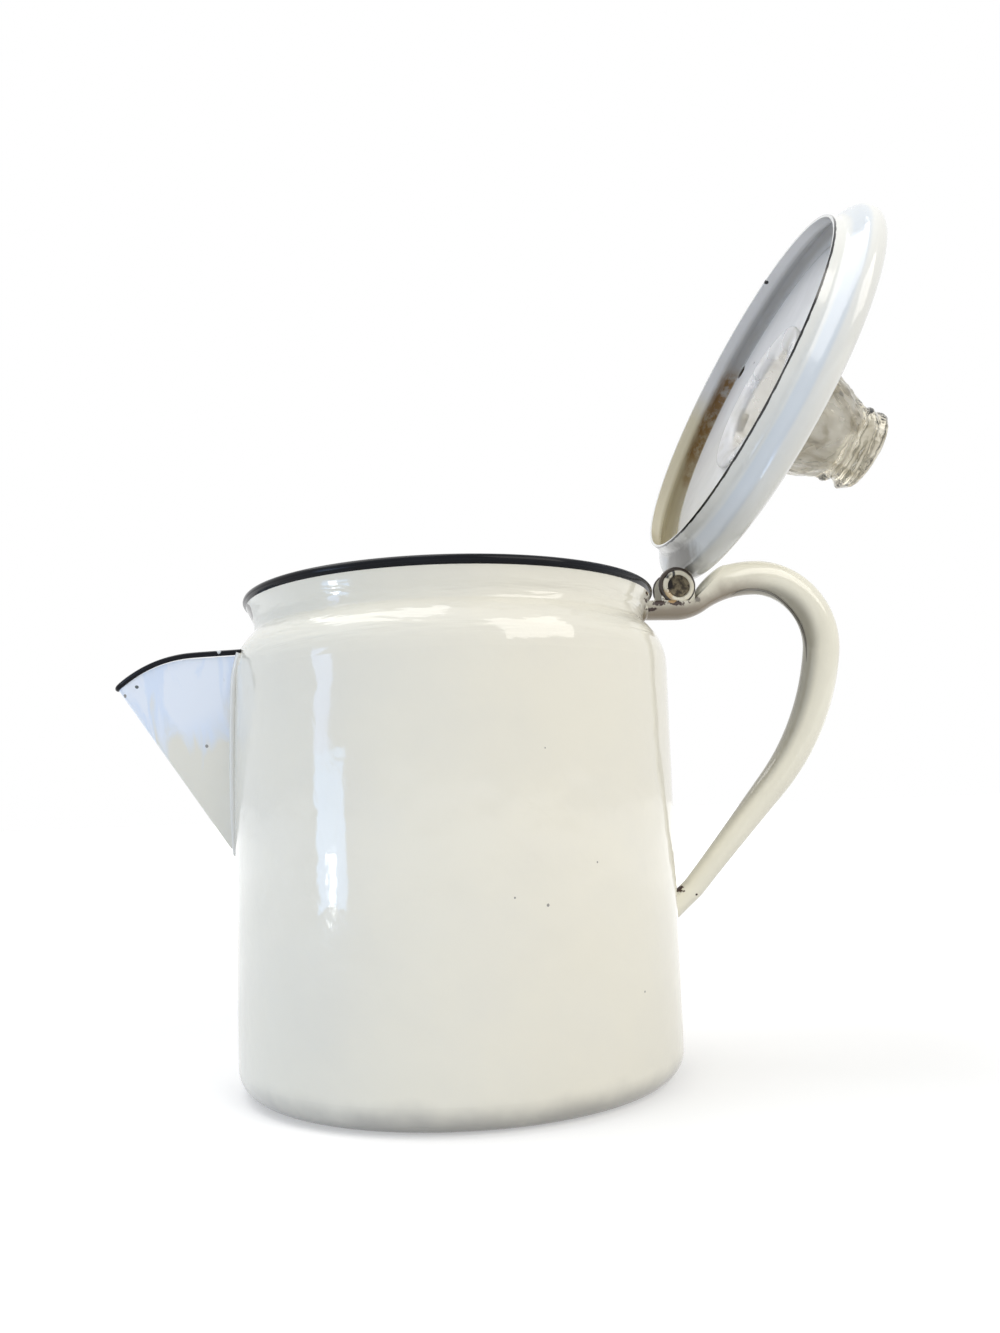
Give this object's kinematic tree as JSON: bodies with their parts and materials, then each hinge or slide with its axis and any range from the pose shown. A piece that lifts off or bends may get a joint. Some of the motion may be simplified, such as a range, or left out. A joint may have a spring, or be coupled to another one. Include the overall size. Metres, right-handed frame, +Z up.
{
  "type": "stovetop coffee percolator",
  "caption": "Enamelled steel stovetop percolator: folded spout, hollow tube handle, hinged lid with a twist-in glass knob, and a lift-out pump with coffee basket.",
  "frame": {"origin": "centre of the resting ring, on the pot's axis at the height of the table", "axes": "+Z up along the pot's axis, spout towards -X, handle and hinge towards +X, hinge pin along Y"},
  "size_m": [0.2632, 0.141, 0.2853],
  "materials": {
    "enamel_cream": "glossy cream-white enamel on steel",
    "enamel_black": "glossy black enamel on the rolled edges",
    "pin_steel": "dull worn steel",
    "clear_glass": "clear pressed glass",
    "aluminium_spun": "satin spun aluminium"
  },
  "bodies": {
    "pot": {"pot_body": "enamel_cream", "rim_bead": "enamel_black", "spout_shell": "enamel_cream", "spout_rim": "enamel_black", "handle_tube": "enamel_cream", "hinge_bracket": "enamel_cream", "hinge_pin": "pin_steel"},
    "lid": {"lid_shell": "enamel_cream", "lid_tongue": "enamel_cream"},
    "knob": {"glass_knob": "clear_glass"},
    "pump": {"stem_tube": "aluminium_spun", "pump_foot": "aluminium_spun", "valve_seat": "aluminium_spun", "basket_stop": "aluminium_spun"},
    "valve": {"valve_washer": "aluminium_spun"},
    "basket": {"basket_shell": "aluminium_spun", "basket_sleeve": "aluminium_spun"},
    "spreader": {"basket_lid": "aluminium_spun"}
  },
  "joints": [
    {"name": "lid_hinge", "type": "hinge", "parent": "pot", "child": "lid", "pos_m": [0.0772, 0, 0.1531], "axis": [0, 1, 0], "range_deg": [-115.6, 0]},
    {"name": "knob_turn", "type": "hinge", "parent": "lid", "child": "knob", "pos_m": [0.10359, 0, 0.22606], "axis": [0.9018, 0, -0.4321], "range_deg": [0, 80]},
    {"name": "pump_lift", "type": "slide", "parent": "pot", "child": "pump", "axis": [0, 0, 1], "range_m": [0, 0.19]},
    {"name": "valve_lift", "type": "slide", "parent": "pump", "child": "valve", "axis": [0, 0, 1], "range_m": [0, 0.0015]},
    {"name": "basket_lift", "type": "slide", "parent": "pump", "child": "basket", "axis": [0, 0, 1], "range_m": [0, 0.12]},
    {"name": "spreader_lift", "type": "slide", "parent": "basket", "child": "spreader", "axis": [0, 0, 1], "range_m": [0, 0.05]}
  ]
}
